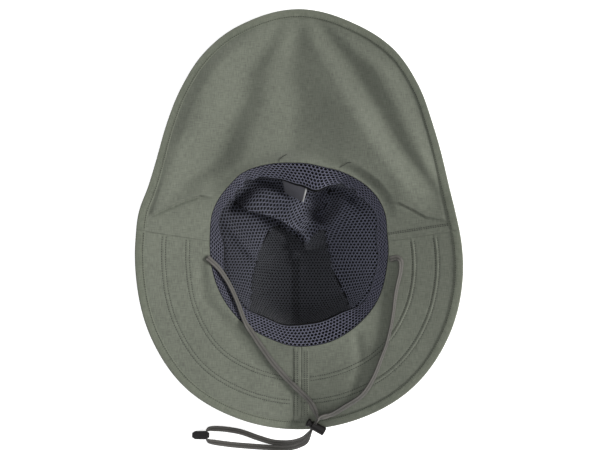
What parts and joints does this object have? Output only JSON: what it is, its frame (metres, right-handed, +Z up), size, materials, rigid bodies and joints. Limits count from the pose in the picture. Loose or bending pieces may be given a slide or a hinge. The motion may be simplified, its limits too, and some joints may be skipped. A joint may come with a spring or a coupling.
{
  "type": "wide-brim sun hat with neck cape",
  "caption": "Soft wide-brim sun hat with a long neck cape, mesh lining and sweatband, and a chin cord with a sprung lock, resting on its crown.",
  "frame": {"origin": "middle of the crown's flat top, on the surface that the hat rests on", "axes": "+Y towards the tip of the neck cape, +Z up out of the head opening, +X to the right seen from above with the cape at the top"},
  "size_m": [0.3367, 0.4638, 0.1028],
  "materials": {
    "olive_nylon": "fine plain-weave nylon, matte with a faint sheen",
    "olive_binding": "folded woven binding, one row of stitches at its inner edge",
    "lining_mesh": "soft knitted mesh with round holes",
    "sweatband_mesh": "thick spacer mesh with round holes",
    "label_tape": "smooth woven tape, bare",
    "cord_webbing": "narrow flat woven strap",
    "dark_plastic": "dark brown moulded plastic, satin"
  },
  "bodies": {
    "hat": {"crown_top": "olive_nylon", "crown_side": "olive_nylon", "crown_lining": "lining_mesh", "sweatband": "sweatband_mesh", "brim_left": "olive_nylon", "brim_right": "olive_nylon", "brim_center_band": "olive_nylon", "brim_binding": "olive_binding", "cape": "olive_nylon", "cape_binding": "olive_binding", "label": "label_tape", "chin_cord": "cord_webbing", "cord_lock_barrel": "dark_plastic", "cord_end_clip": "dark_plastic"},
    "lock_button": {"cord_lock_button": "dark_plastic"}
  },
  "joints": [
    {"name": "lock_press", "type": "slide", "parent": "hat", "child": "lock_button", "axis": [0.87, -0.4902, -0.0523], "range_m": [0, 0.0016], "stiffness_N_per_m": 150, "springref_m": -0.003}
  ]
}
